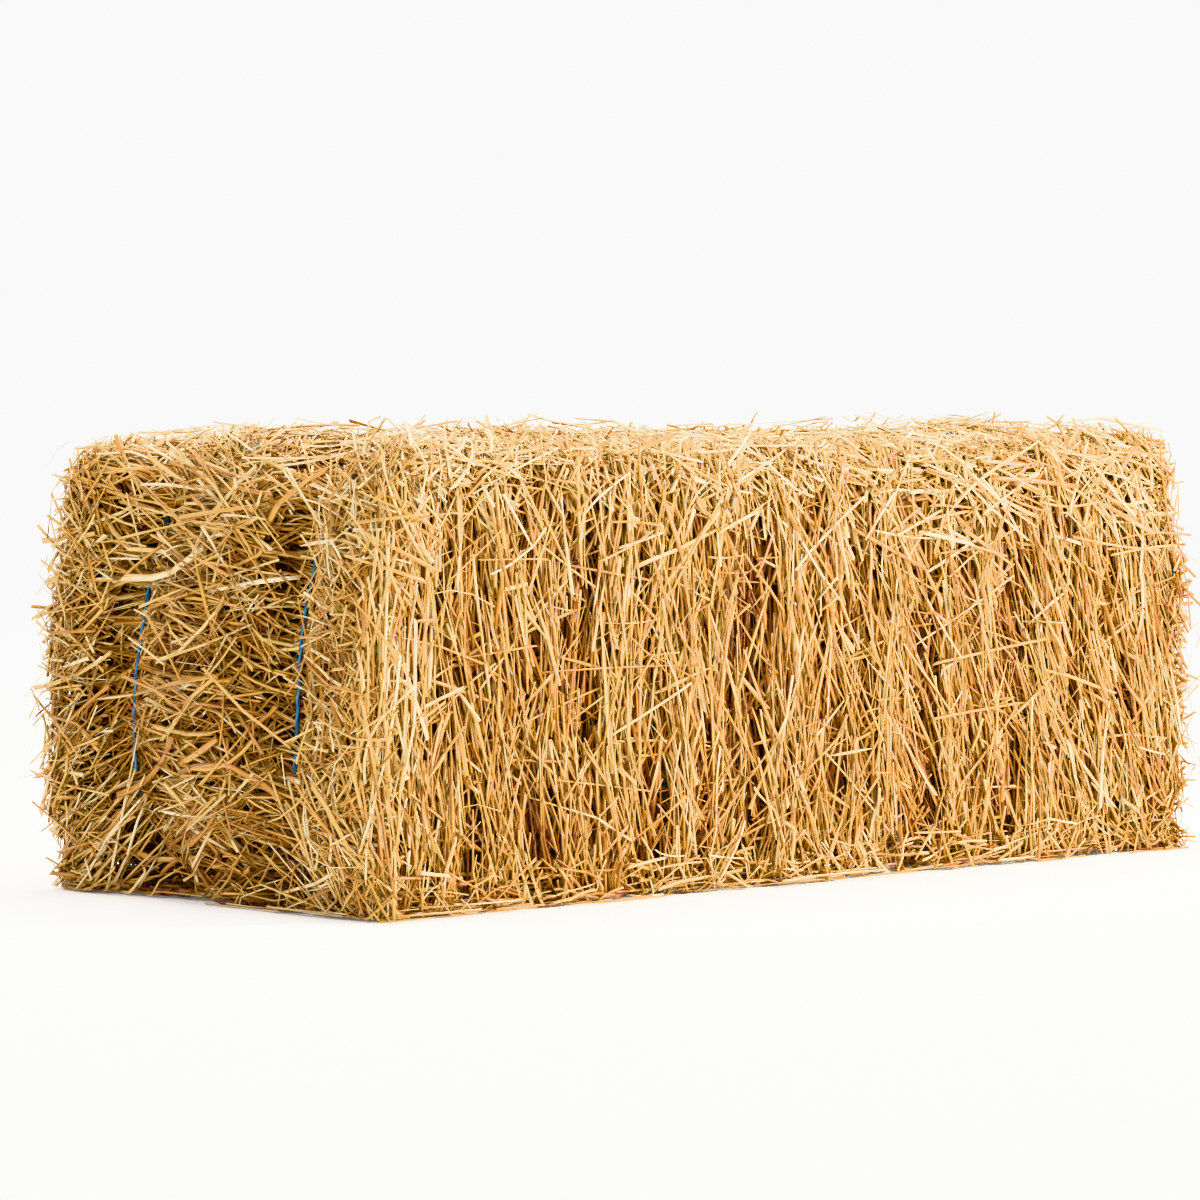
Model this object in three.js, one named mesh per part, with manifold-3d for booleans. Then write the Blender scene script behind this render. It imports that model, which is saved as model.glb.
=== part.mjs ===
// A small rectangular straw bale: a row of pressed wads of straw ("flakes") held together by two
// loops of baling twine that run lengthwise over its top, ends and bottom.
// Millimetres. +X is the bale's length, +Z is up, and z = 0 is the ground under its middle.

import * as THREE from 'three';
import { mergeVertices } from 'three/addons/utils/BufferGeometryUtils.js';
import Module from 'manifold-3d';

const wasm = await Module();
wasm.setup();

// The whole bale.
const CORNER_LENGTH = 918; // between the upright edges of its two ends
const END_BULGE = 28; // how far the middle of an end stands out past its upright edges
const LOBE_RISE = 8; // further rise between the twines, which press the end into three lobes
const WIDTH = 414;
const HEIGHT = 366;
const BULGE_HEIGHT = 140; // height at which the ends stand out furthest
const FOOT_PULL = 0.5; // share of the bulge that is lost again at the ground

// The flakes.
const FLAKE_COUNT = 14;
const END_FLAKE_DEPTH = 78; // from an end's upright edges to the face behind it
const FLAKE_GAP = 0.6;
const FLAKE_BEVEL = 5; // the slanted rim that shows where one flake ends and the next begins
const BEVEL_SLANT = 0.6; // how far it falls back, as a share of its breadth
const FLAKE_SWELL = 2.5; // how much flakes differ in height and width
const SWELL_TURN = 2.4; // step of the wave that says which are smaller

// Rounding of the bale's edges.
const LONG_EDGE_RADIUS = 26; // the four edges that run lengthwise
const UPRIGHT_EDGE_RADIUS = 26; // the upright edges of the ends
const TOP_END_RADIUS = 30;
const TWINE_END_RADIUS = 54; // where the twine pulls the top edge of an end down
const BOTTOM_END_RADIUS = 22;

// The twine and the groove that it presses into the straw.
const TWINE_OFFSET = 98; // from the bale's middle to each twine
const TWINE_RADIUS = 1.6;
const TWINE_SIDES = 8;
const TWINE_GAP = 0.35; // clearance between the twine and the straw
const GROOVE_DEPTH = 9; // along the top and bottom
const END_GROOVE_DEPTH = 13; // down the ends
const GROOVE_FLOOR = 4; // half the width of the groove's floor
const GROOVE_MOUTH = 15; // half the width of its mouth
const TWINE_RUN_STEPS = 6; // steps in each straight run of twine

// The knot, on top near the +X end.
const KNOT_X = 318;
const KNOT_SIZE = new THREE.Vector3(7.5, 4.2, 3.6); // half sizes
const TAIL_LENGTH = 34;
const TAIL_SPREAD = 9; // how far each tail's tip leans away from the twine
const TAIL_RISE = 8;
const TAIL_STEPS = 6;

const STRAW = { color: 0xd7a555, roughness: 0.62, metalness: 0 };
const TWINE = { color: 0x1e5a82, roughness: 0.45, metalness: 0 };

const bale = new THREE.Group();

function addPiece(name, geometry, finish) {
  const mesh = new THREE.Mesh(geometry, new THREE.MeshStandardMaterial(finish));
  mesh.name = name;
  bale.add(mesh);
}

// 1 on a groove's floor, 0 outside its mouth.
function groove(y) {
  const away = Math.abs(Math.abs(y) - TWINE_OFFSET);
  const slope = (GROOVE_MOUTH - away) / (GROOVE_MOUTH - GROOVE_FLOOR);
  return THREE.MathUtils.clamp(slope, 0, 1);
}

// How far a rounded edge falls back at a distance from where its flat face would end.
function roundedEdge(distance, radius) {
  const inwards = Math.min(distance, radius);
  return radius - Math.sqrt(radius ** 2 - (radius - inwards) ** 2);
}

function topHeight(y, swell = 0) {
  const edge = roundedEdge(WIDTH / 2 - Math.abs(y), LONG_EDGE_RADIUS);
  return HEIGHT - swell - edge - GROOVE_DEPTH * groove(y);
}

function bottomHeight(y) {
  const edge = roundedEdge(WIDTH / 2 - Math.abs(y), LONG_EDGE_RADIUS);
  return edge + GROOVE_DEPTH * groove(y);
}

// The end surface: how far from the bale's middle it stands, at a place across and up.
function endReach(y, z) {
  const above = THREE.MathUtils.clamp((z - BULGE_HEIGHT) / (HEIGHT - BULGE_HEIGHT), 0, 1);
  const below = THREE.MathUtils.clamp((BULGE_HEIGHT - z) / BULGE_HEIGHT, 0, 1);
  const swell = 1 - above ** 2 - FOOT_PULL * below ** 3;
  const lobe = Math.sin((Math.PI * (Math.abs(y) + TWINE_OFFSET)) / (2 * TWINE_OFFSET)) ** 2;
  const upright = roundedEdge(WIDTH / 2 - Math.abs(y), UPRIGHT_EDGE_RADIUS);
  const topRadius = THREE.MathUtils.lerp(TOP_END_RADIUS, TWINE_END_RADIUS, groove(y));
  const top = roundedEdge(topHeight(y) - z, topRadius);
  const bottom = roundedEdge(z - bottomHeight(y), BOTTOM_END_RADIUS);
  const raised = CORNER_LENGTH / 2 + swell * (END_BULGE + LOBE_RISE * lobe);
  return raised - upright - Math.max(top, bottom) - END_GROOVE_DEPTH * groove(y);
}

// Places across the bale where its outline bends, from -Y to +Y.
function acrossStations() {
  const half = [0, 40, 76, TWINE_OFFSET - GROOVE_MOUTH, TWINE_OFFSET - GROOVE_FLOOR];
  half.push(TWINE_OFFSET + GROOVE_FLOOR, TWINE_OFFSET + GROOVE_MOUTH, 146);
  for (const degrees of [0, 30, 60, 90]) {
    const turn = THREE.MathUtils.degToRad(degrees);
    half.push(WIDTH / 2 - LONG_EDGE_RADIUS * (1 - Math.sin(turn)));
  }
  const other = half.slice(1).reverse();
  return [...other.map((y) => -y), ...half];
}

// Heights, from 0 at the bottom to 1 at the top, where an end's outline bends.
function upStations() {
  const tall = HEIGHT - 2 * GROOVE_DEPTH;
  const levels = [];
  for (const degrees of [0, 35, 65, 90]) {
    levels.push((BOTTOM_END_RADIUS * (1 - Math.cos(THREE.MathUtils.degToRad(degrees)))) / tall);
  }
  levels.push(0.2, 0.34, 0.48, 0.62, 0.76);
  for (const degrees of [0, 25, 45, 65, 90]) {
    levels.push(1 - (TWINE_END_RADIUS * (1 - Math.sin(THREE.MathUtils.degToRad(degrees)))) / tall);
  }
  return levels;
}

const ACROSS = acrossStations();
const UP = upStations();

// The row of flakes between the two end ones.
const INNER_HALF = CORNER_LENGTH / 2 - END_FLAKE_DEPTH;
const INNER_COUNT = FLAKE_COUNT - 2;
const PITCH = (2 * INNER_HALF) / INNER_COUNT;

// A flake from inside the row: the bale's cross-section, a little smaller by its swell.
function innerFlake(index) {
  const from = -INNER_HALF + index * PITCH + FLAKE_GAP / 2;
  const to = -INNER_HALF + (index + 1) * PITCH - FLAKE_GAP / 2;
  const swell = FLAKE_SWELL * (1 + Math.sin(index * SWELL_TURN));
  const narrowing = 1 - (2 * swell) / WIDTH;
  const outline = new THREE.Shape();
  const inset = (y) => y * narrowing;
  const upper = ACROSS.map((y) => new THREE.Vector2(inset(y), topHeight(y, swell)));
  const lower = ACROSS.map((y) => new THREE.Vector2(inset(y), bottomHeight(y)));
  outline.setFromPoints([...lower, ...upper.reverse()]);
  const geometry = new THREE.ExtrudeGeometry(outline, {
    depth: to - from - 2 * FLAKE_BEVEL,
    bevelEnabled: true,
    bevelThickness: FLAKE_BEVEL,
    bevelSize: FLAKE_BEVEL * BEVEL_SLANT,
    bevelOffset: -FLAKE_BEVEL * BEVEL_SLANT,
    bevelSegments: 1,
  });
  geometry.rotateX(Math.PI / 2);
  geometry.rotateZ(Math.PI / 2);
  geometry.translate(from + FLAKE_BEVEL, 0, 0);
  return geometry;
}

// An end flake: a box whose outer side is drawn out to the end's domed and grooved surface.
function endFlake(side) {
  const geometry = new THREE.BoxGeometry(1, 1, 1, 1, ACROSS.length - 1, UP.length - 1);
  const points = geometry.attributes.position;
  for (let i = 0; i < points.count; i += 1) {
    const out = side * points.getX(i) + 0.5; // 0 on the inner face, 1 on the outer
    const y = ACROSS[Math.round((points.getY(i) + 0.5) * (ACROSS.length - 1))];
    const level = UP[Math.round((points.getZ(i) + 0.5) * (UP.length - 1))];
    const z = THREE.MathUtils.lerp(bottomHeight(y), topHeight(y), level);
    const x = THREE.MathUtils.lerp(INNER_HALF + FLAKE_GAP, endReach(y, z), out);
    points.setXYZ(i, side * x, y, z);
  }
  return geometry;
}

// The section repeats at the route's own points, which lie closer together round the bends.
class Route extends THREE.CatmullRomCurve3 {
  getPointAt(u, target) {
    return this.getPoint(u, target);
  }

  getTangentAt(u, target) {
    return this.getTangent(u, target);
  }
}

function tube(points, steps) {
  const section = new THREE.Shape();
  section.absarc(0, 0, TWINE_RADIUS, 0, 2 * Math.PI);
  return new THREE.ExtrudeGeometry(section, {
    steps,
    curveSegments: TWINE_SIDES / 2, // a circle is cut into twice this many sides
    extrudePath: new Route(points),
  });
}

function toSolid(geometry) {
  const bare = geometry.clone();
  bare.deleteAttribute('normal');
  bare.deleteAttribute('uv');
  const merged = mergeVertices(bare, 1e-4);
  const vertProperties = new Float32Array(merged.attributes.position.array);
  const triVerts = new Uint32Array(merged.index.array);
  return new wasm.Manifold(new wasm.Mesh({ numProp: 3, vertProperties, triVerts }));
}

function toGeometry(solid) {
  const { vertProperties, triVerts } = solid.getMesh();
  const geometry = new THREE.BufferGeometry();
  geometry.setAttribute('position', new THREE.BufferAttribute(vertProperties, 3));
  geometry.setIndex(new THREE.BufferAttribute(triVerts, 1));
  return geometry;
}

// The floor of an end's groove, from bottom to top, as places in the X-Z plane.
function endGrooveFloor() {
  const y = TWINE_OFFSET;
  return UP.map((level) => {
    const z = THREE.MathUtils.lerp(bottomHeight(y), topHeight(y), level);
    return new THREE.Vector2(endReach(y, z), z);
  });
}

// The twine's centre line beside that floor: each place moved outwards off the straw.
function besideFloor(floor) {
  const off = TWINE_RADIUS + TWINE_GAP;
  const last = floor.length - 1;
  return floor.map((place, i) => {
    if (i === 0) return new THREE.Vector2(place.x, place.y - off);
    if (i === last) return new THREE.Vector2(place.x, place.y + off);
    const back = place.clone().sub(floor[i - 1]).normalize();
    const ahead = floor[i + 1].clone().sub(place).normalize();
    const along = back.clone().add(ahead).normalize();
    const stretch = off / along.dot(back);
    return new THREE.Vector2(place.x + along.y * stretch, place.y - along.x * stretch);
  });
}

// Once round the bale from the knot: over the -X end, under the bale and back up the +X end.
function twineRoute(y) {
  const end = besideFloor(endGrooveFloor());
  const top = end[end.length - 1];
  const bottom = end[0];
  const flat = [];
  const run = (fromX, toX, z) => {
    for (let i = 1; i < TWINE_RUN_STEPS; i += 1) {
      flat.push(new THREE.Vector2(THREE.MathUtils.lerp(fromX, toX, i / TWINE_RUN_STEPS), z));
    }
  };
  flat.push(new THREE.Vector2(KNOT_X - KNOT_SIZE.x / 2, top.y));
  run(KNOT_X, -top.x, top.y);
  flat.push(...end.map((place) => new THREE.Vector2(-place.x, place.y)).reverse());
  run(-bottom.x, bottom.x, bottom.y);
  flat.push(...end);
  flat.push(new THREE.Vector2(KNOT_X + KNOT_SIZE.x / 2, top.y));
  return flat.map((place) => new THREE.Vector3(place.x, y, place.y));
}

function knotTail(y, z, lean) {
  const start = new THREE.Vector3(KNOT_X, y, z + KNOT_SIZE.z / 2);
  const tip = start.clone();
  tip.add(new THREE.Vector3(-TAIL_LENGTH, TAIL_SPREAD * lean, TAIL_RISE));
  const middle = start.clone().lerp(tip, 0.5);
  middle.z += TAIL_RISE / 4;
  return tube([start, middle, tip], TAIL_STEPS);
}

function twine(y) {
  const route = twineRoute(y);
  const z = route[0].z;
  const knot = new THREE.SphereGeometry(1, 12, 8);
  knot.rotateX(Math.PI / 2);
  knot.scale(KNOT_SIZE.x, KNOT_SIZE.y, KNOT_SIZE.z);
  knot.translate(KNOT_X, y, z + KNOT_SIZE.z - TWINE_RADIUS);
  return [tube(route, route.length - 1), knotTail(y, z, 1), knotTail(y, z, -1)]
    .map(toSolid)
    .reduce((whole, piece) => whole.add(piece), toSolid(knot));
}

const flakeName = (number) => `flake_${String(number).padStart(2, '0')}`;

addPiece(flakeName(1), endFlake(-1), STRAW);
for (let i = 0; i < INNER_COUNT; i += 1) {
  addPiece(flakeName(i + 2), innerFlake(i), STRAW);
}
addPiece(flakeName(FLAKE_COUNT), endFlake(1), STRAW);
addPiece('twine_front', toGeometry(twine(-TWINE_OFFSET)), TWINE);
addPiece('twine_back', toGeometry(twine(TWINE_OFFSET)), TWINE);

export default bale;
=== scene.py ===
"""A small straw bale: fourteen pressed flakes of straw tied with two loops of blue baling twine.

Every straw is a real tube of mesh. Straws are laid on the bale's form in layers, their
directions drawn from clumps, as a baler's plunger leaves them, and joined into one mesh for
each flake. Metres, +Z up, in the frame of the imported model.
"""

import math
from dataclasses import dataclass, field, fields

import bpy
import numpy as np
from mathutils import Matrix, Vector


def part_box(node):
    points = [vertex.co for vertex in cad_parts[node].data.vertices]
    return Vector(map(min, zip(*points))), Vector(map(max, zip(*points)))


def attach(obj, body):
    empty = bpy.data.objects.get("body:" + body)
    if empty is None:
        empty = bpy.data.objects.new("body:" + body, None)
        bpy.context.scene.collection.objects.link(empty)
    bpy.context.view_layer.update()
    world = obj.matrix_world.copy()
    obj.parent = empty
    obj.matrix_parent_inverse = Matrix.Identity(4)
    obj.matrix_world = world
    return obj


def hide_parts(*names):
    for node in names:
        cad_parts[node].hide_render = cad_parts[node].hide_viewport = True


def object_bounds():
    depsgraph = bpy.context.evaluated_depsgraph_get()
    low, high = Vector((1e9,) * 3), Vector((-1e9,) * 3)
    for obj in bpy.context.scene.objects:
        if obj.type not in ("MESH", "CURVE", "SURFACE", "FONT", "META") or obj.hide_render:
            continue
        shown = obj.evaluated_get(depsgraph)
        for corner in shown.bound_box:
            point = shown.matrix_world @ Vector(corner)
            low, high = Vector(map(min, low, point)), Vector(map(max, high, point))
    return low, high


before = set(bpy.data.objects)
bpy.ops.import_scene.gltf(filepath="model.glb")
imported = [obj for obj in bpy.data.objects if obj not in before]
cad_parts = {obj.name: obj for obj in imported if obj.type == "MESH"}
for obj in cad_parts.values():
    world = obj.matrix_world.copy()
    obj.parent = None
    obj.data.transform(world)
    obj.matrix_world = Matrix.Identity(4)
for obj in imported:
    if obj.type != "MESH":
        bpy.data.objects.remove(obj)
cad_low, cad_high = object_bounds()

MM = 0.001
rng = np.random.default_rng(11)


def mm(*sizes):
    """The given millimetres in metres."""
    return tuple(size * MM for size in sizes)


# ---------------- the bale's form

FLAKE_NAMES = sorted(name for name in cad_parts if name.startswith("flake"))
FLAKE_BOXES = [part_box(name) for name in FLAKE_NAMES]
SEAMS = np.array([(a[1].x + b[0].x) / 2 for a, b in zip(FLAKE_BOXES, FLAKE_BOXES[1:])])
HEIGHT = FLAKE_BOXES[0][1].z
HALF_WIDTH = cad_high.y
HALF_LENGTH = cad_high.x
TWINE_Y = (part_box("twine_back")[0].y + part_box("twine_back")[1].y) / 2

EDGE = 30 * MM  # rounding of the bale's edges
FOOT_EDGE = 8 * MM  # and of those on the ground
TIP_ROOM = 6 * MM  # the pressed surface lies this far inside the form that the tips reach
END_SWELL = 28 * MM  # how far an end stands out past its top edge
LOBE_RISE = 8 * MM  # the further rise between the twines
SWELL_HEIGHT = 140 * MM  # where an end stands out furthest
FOOT_SWELL = 0.4  # how much of the swell is lost at the foot
HUMPS = (  # on top: place along and across it, reach and rise, in mm
    (-420, 60, 90, 10),
    (-150, 10, 55, 24),
    (110, 0, 130, -7),
    (345, 0, 110, 19),
)
TIED_WIDTH = 42 * MM  # how near a twine the humps are flattened by it
GROOVE_WIDTH = 14 * MM  # of the twines' grooves
GROOVE_DEPTH = 5 * MM
END_GROOVE_DEPTH = 12 * MM
TOP_PULL = 46 * MM  # how far the twines pull the ends' top edges in
TOP_SAG = 22 * MM  # how far they sink in the top before they go over its ends
SAG_REACH = 85 * MM
FOOT_PULL = 60 * MM  # how far they pull the ends' bottom edges in
FOOT_HOLLOW = 70 * MM  # height below which that pull spreads sideways
TOP_SPREAD, FOOT_SPREAD = 1.1, 3.5  # how much wider the grooves get at the ends' edges
FOOT_TUCK = 8 * MM  # how far the sides draw in just above the ground
TUCK_HEIGHT, TUCK_REACH = 26 * MM, 16 * MM
SEAM_WIDTH = 9 * MM
SEAM_DEPTH = 15 * MM
TOP_SEAM = 0.4  # depth of the seams on the top, as a share of that on the sides
SEAM_SWAY = 5 * MM
SEAM_TURNS = 26  # how fast the seams sway, in radians per metre
LUMP_HEIGHT = 4 * MM
LUMP_COUNT = 9  # waves that add up to the lumps
LUMP_TURNS = 32  # how fast they come and go, in radians per metre

SEAM_STRENGTH = rng.uniform(0.45, 1.5, len(SEAMS))
SEAM_PHASE = rng.uniform(0, 2 * math.pi, len(SEAMS))
LUMP_WAVES = rng.normal(0, LUMP_TURNS, (LUMP_COUNT, 3))
LUMP_PHASES = rng.uniform(0, 2 * math.pi, LUMP_COUNT)
BUNDLE_COUNT = 12  # waves that add up to the bundles of straws on a face
BUNDLE_WAVES = rng.normal(0, 1, (6, BUNDLE_COUNT, 2))  # for each of the six faces
BUNDLE_PHASES = rng.uniform(0, 2 * math.pi, (6, BUNDLE_COUNT))
BUNDLE_TURNS = (125, 16)  # how fast they come and go across and along the straws, per metre
GAP_LEVEL = 0.45  # how high those waves have to be to make a gap between bundles
GAP_DEPTH = 13 * MM
FOOT_GAPS = 60 * MM  # how far up from the foot the gaps are wider
DEEPEST = 21 * MM  # no straw lies deeper, only the core


def bell(distance, width):
    return np.exp(-((distance / width) ** 2))


def lumps(places):
    """Slow unevenness of the surface, about -1 to 1."""
    return np.sin(places @ LUMP_WAVES.T + LUMP_PHASES).mean(axis=1) * 2.2


def seam_groove(x, z):
    """About 1 where one flake meets the next, 0 between."""
    line = SEAMS + SEAM_SWAY * np.sin(z[:, None] * SEAM_TURNS + SEAM_PHASE)
    return (SEAM_STRENGTH * bell(x[:, None] - line, SEAM_WIDTH)).max(axis=1)


def above_swell(z):
    """0 up to where the ends stand out furthest, 1 at the top."""
    return np.clip((z - SWELL_HEIGHT) / (HEIGHT - SWELL_HEIGHT), 0, 1)


def end_half(y, z, twine):
    """Half the bale's length at each height and place across."""
    above = above_swell(z)
    below = np.clip((SWELL_HEIGHT - z) / SWELL_HEIGHT, 0, 1)
    swell = 1 - above**2 - FOOT_SWELL * below**3
    lobe = np.sin(math.pi * (np.abs(y) + TWINE_Y) / (2 * TWINE_Y)) ** 2
    pulled = twine * (END_GROOVE_DEPTH + TOP_PULL * above**2.4 + FOOT_PULL * below**3)
    corner = HALF_LENGTH - END_SWELL - LOBE_RISE - TIP_ROOM
    return corner + swell * (END_SWELL + LOBE_RISE * lobe) - pulled


def skin(places, seams=1.0, twines=1.0):
    """How far each place is outside the pressed surface, and the way out from there."""
    x, y, z = places.T
    by_end = bell(HALF_LENGTH - np.abs(x), SAG_REACH)
    low = np.clip(1 - z / FOOT_HOLLOW, 0, 1)
    spread = 1 + by_end * (TOP_SPREAD * above_swell(z) + FOOT_SPREAD * low)
    twine = twines * bell(np.abs(y) - TWINE_Y, GROOVE_WIDTH * spread)
    seam = seams * seam_groove(x, z) * SEAM_DEPTH
    tuck = FOOT_TUCK * bell(z - TUCK_HEIGHT, TUCK_REACH)
    bump = LUMP_HEIGHT * lumps(places)
    hump = np.zeros(len(places))
    for along, across, reach, rise in HUMPS:
        away = np.hypot(x - along * MM, y - across * MM)
        hump += rise * MM * bell(away, reach * MM)
    hump *= 1 - twines * bell(np.abs(y) - TWINE_Y, TIED_WIDTH)
    upper = z > HEIGHT / 2
    sunk = GROOVE_DEPTH + TOP_SAG * by_end * upper
    edge = FOOT_EDGE + (EDGE - FOOT_EDGE) * np.clip((z - FOOT_EDGE) / EDGE, 0, 1)
    half_length = end_half(y, z, twine) + bump - tuck
    half_width = HALF_WIDTH - TIP_ROOM - seam + bump - tuck
    half_height = HEIGHT / 2 - TIP_ROOM - sunk * twine - TOP_SEAM * seam + bump + hump * upper
    half = np.stack([half_length, half_width, half_height], axis=1)
    offset = np.stack([x, y, z - HEIGHT / 2], axis=1)
    past = np.abs(offset) - (half - edge[:, None])
    outside = np.maximum(past, 0)
    far = np.linalg.norm(outside, axis=1)
    square = np.eye(3)[past.argmax(axis=1)]
    way = np.where(far[:, None] > 1e-7, outside / np.maximum(far, 1e-7)[:, None], square)
    return far + np.minimum(past.max(axis=1), 0) - edge, way * np.sign(offset)


def press(places, highest, **form):
    """Moves places that stand out further than `highest` back towards the surface."""
    shape = places.shape
    flat = places.reshape(-1, 3).copy()
    limit = np.broadcast_to(highest, shape[:-1]).reshape(-1)
    for _ in range(3):
        distance, way = skin(flat, **form)
        flat -= np.maximum(distance - limit, 0)[:, None] * way
    return flat.reshape(shape)


# ---------------- faces and directions

ALL = (-1, 1)  # a face's whole length or height


@dataclass
class Face:
    """One side of the bale: the ways out, along and up it, and how straws lie on it."""

    out: tuple
    along: tuple
    up: tuple
    half_along: float
    half_up: float
    density: float  # how many straws lie on it, as a share of the kinds' own numbers
    lean: object  # the main direction, as a function of the place on the face
    clump: float  # size of the clumps of straws that lie the same way
    clump_spread: float  # in degrees, from clump to clump
    straw_spread: float  # in degrees, from straw to straw in a clump
    strays: float  # share of straws that lie any way
    tangle: float  # the further share towards its right edge
    level_bundles: bool  # True if its bundles lie along the face, False if they stand up it

    def area(self):
        return 4 * self.half_along * self.half_up

    def scatter(self, count, where=(ALL, ALL)):
        """Random places on the face, within a part of it given from -1 to 1 both ways."""
        (left, right), (low, high) = where
        u = rng.uniform(left, right, count) * self.half_along
        v = rng.uniform(low, high, count) * self.half_up
        return u, v

    def lift(self, u, v):
        """Places well outside the face, over the places u along and v up it."""
        middle = np.array([0, 0, HEIGHT / 2])
        reach = abs(np.dot(self.out, (HALF_LENGTH, HALF_WIDTH, HEIGHT / 2)))
        return middle + np.outer(u, self.along) + np.outer(v, self.up) + reach * np.array(self.out)

    def level(self, angle):
        """Directions along the face, at an angle from its `along` to its `up`."""
        return np.cos(angle)[:, None] * self.along + np.sin(angle)[:, None] * np.array(self.up)


def side_lean(u, v):
    """Straws on a long side stand upright and lean more and more towards its right end."""
    right = np.clip((u / HALF_LENGTH + 0.1) / 1.1, 0, 1)
    return math.pi / 2 + math.radians(3) + math.radians(20) * right


def end_lean(u, v):
    """Straws on an end lie level, fan out past the twines, and stand up by its right edge."""
    past = np.clip((np.abs(u) - TWINE_Y) / (HALF_WIDTH - TWINE_Y), 0, 1)
    fan = math.radians(38) * np.clip(3 * past, 0, 1) * (v - 10 * MM) / (HEIGHT / 2)
    upright = np.clip(2.2 * past - 1.1, 0, 1) * (u > 0)
    return np.sign(u) * fan * (1 - upright) - math.radians(80) * upright


def flat_lean(u, v):
    return np.full_like(u, math.pi / 2)


FRONT, BACK = (0, -1, 0), (0, 1, 0)
RIGHT, LEFT = (1, 0, 0), (-1, 0, 0)
UP, DOWN = (0, 0, 1), (0, 0, -1)
LONG, WIDE, TALL = HALF_LENGTH, HALF_WIDTH, HEIGHT / 2
SIDE_LAY = (side_lean, 40 * MM, 12, 6, 0.16, 0, False)  # from `lean` to `level_bundles`
END_LAY = (end_lean, 40 * MM, 26, 6, 0.12, 0.6, True)
FLAT_LAY = (flat_lean, 60 * MM, 55, 14, 0.3, 0, False)
FACES = {
    "front": Face(FRONT, RIGHT, UP, LONG, TALL, 1.15, *SIDE_LAY),
    "back": Face(BACK, LEFT, UP, LONG, TALL, 0.8, *SIDE_LAY),
    "near_end": Face(LEFT, FRONT, UP, WIDE, TALL, 1.3, *END_LAY),
    "far_end": Face(RIGHT, BACK, UP, WIDE, TALL, 0.85, *END_LAY),
    "top": Face(UP, RIGHT, BACK, LONG, WIDE, 1.0, *FLAT_LAY),
    "bottom": Face(DOWN, RIGHT, FRONT, LONG, WIDE, 0.3, *FLAT_LAY),
}
CLUMP_STRETCH = 0.6  # clumps are longer up the face than along it
TANGLED = (0.56, 0.76)  # where along the face the tangle begins and where it is all there
TANGLE_DEPTH = 4 * MM
CROWN = 0.72  # height on the sides and ends above which straws lie more and more at random


def clump_turns(face, u, v):
    """A turn for each place, the same all over a clump of straws."""
    count = int(face.area() / face.clump**2)
    cu, cv = face.scatter(count)
    turn = rng.normal(0, math.radians(face.clump_spread), count)
    gap = (u[:, None] - cu) ** 2 + ((v[:, None] - cv) * CLUMP_STRETCH) ** 2
    return turn[gap.argmin(axis=1)]


def tangled(face, u):
    """0 where straws lie in order, 1 where many are broken and lie any way."""
    first, last = TANGLED
    share = u / face.half_along
    inside = np.clip((share - first) / (last - first), 0, 1) * np.clip((1 - share) / 0.1, 0, 1)
    return inside * (face.tangle > 0)


def gaps(name, u, v):
    """How deep the straws lie: GAP_DEPTH in the gaps between bundles, a little below 0 on top."""
    face = FACES[name]
    across, along = (v, u) if face.level_bundles else (u, v)
    number = list(FACES).index(name)
    fast, slow = BUNDLE_TURNS
    waves = BUNDLE_WAVES[number]
    turns = np.outer(across, waves[:, 0]) * fast + np.outer(along, waves[:, 1]) * slow
    height = np.sin(turns + BUNDLE_PHASES[number]).sum(axis=1) / math.sqrt(BUNDLE_COUNT / 2)
    foot = bell(v + face.half_up, FOOT_GAPS) * abs(face.up[2])
    depth = GAP_DEPTH * np.clip((height - GAP_LEVEL + 0.5 * foot) / 1.1, 0, 1)
    depth += TANGLE_DEPTH * tangled(face, u)
    return depth - 2 * MM * np.clip(-height, 0, 1)


def headings(face, u, v):
    angle = face.lean(u, v) + clump_turns(face, u, v)
    angle += rng.normal(0, math.radians(face.straw_spread), len(u))
    crown = np.clip((v / face.half_up - CROWN) / (1 - CROWN), 0, 1) * abs(face.up[2])
    stray = rng.random(len(u)) < face.strays + 0.6 * crown + face.tangle * tangled(face, u)
    return np.where(stray, rng.uniform(0, math.pi, len(u)), angle)


# ---------------- straws as centre lines


@dataclass
class Straws:
    """A batch of straws: centre lines and what varies from straw to straw or along one."""

    line: np.ndarray  # (straw, place, 3)
    facing: np.ndarray  # (straw, 3), roughly the way out of the bale
    wide: np.ndarray  # (straw, place), half the width across
    thin: np.ndarray  # (straw, place), half the thickness
    tone: np.ndarray  # (straw,), 0 dark to 1 pale
    # shade below is painted shade
    shade: np.ndarray  # (straw, place), 0 deep in the bale to 1 on its surface
    joint: np.ndarray  # (straw, place), 1 on a stem's node
    slant: np.ndarray  # (straw, 2), how slantwise the two ends are cut
    twist: np.ndarray  # (straw,), turn from end to end

    def keep(self, chosen):
        return Straws(*(getattr(self, part.name)[chosen] for part in fields(self)))


LOWEST, HIGHEST = 2.3 * MM, cad_high.z + 15 * MM  # of centre lines
NODE_REACH = 3.5 * MM  # how far a swollen node reaches along its stem
# painted shade, set in shade_at: darker the deeper a straw lies, in the twines' grooves and near
# the ground
DARK_DEPTH = 13 * MM
LOW_GROOVES = 0.45  # how much less the twines' grooves count as deep in the bale's lower half
# painted shade near the ground: how much darker, and up to what height
FOOT_PAINTED_SHADE = 0.36  # how much darker the straw is on the ground
FOOT_HEIGHT = 48 * MM
PROUDEST = 1.4  # the shade of straws that stand furthest out
# painted light from above: how much paler a straw is the more it faces up
TOP_PAINTED_LIGHT = 0.28  # how much paler the straw is on top


def unit(vectors):
    return vectors / np.maximum(np.linalg.norm(vectors, axis=-1, keepdims=True), 1e-9)


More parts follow.
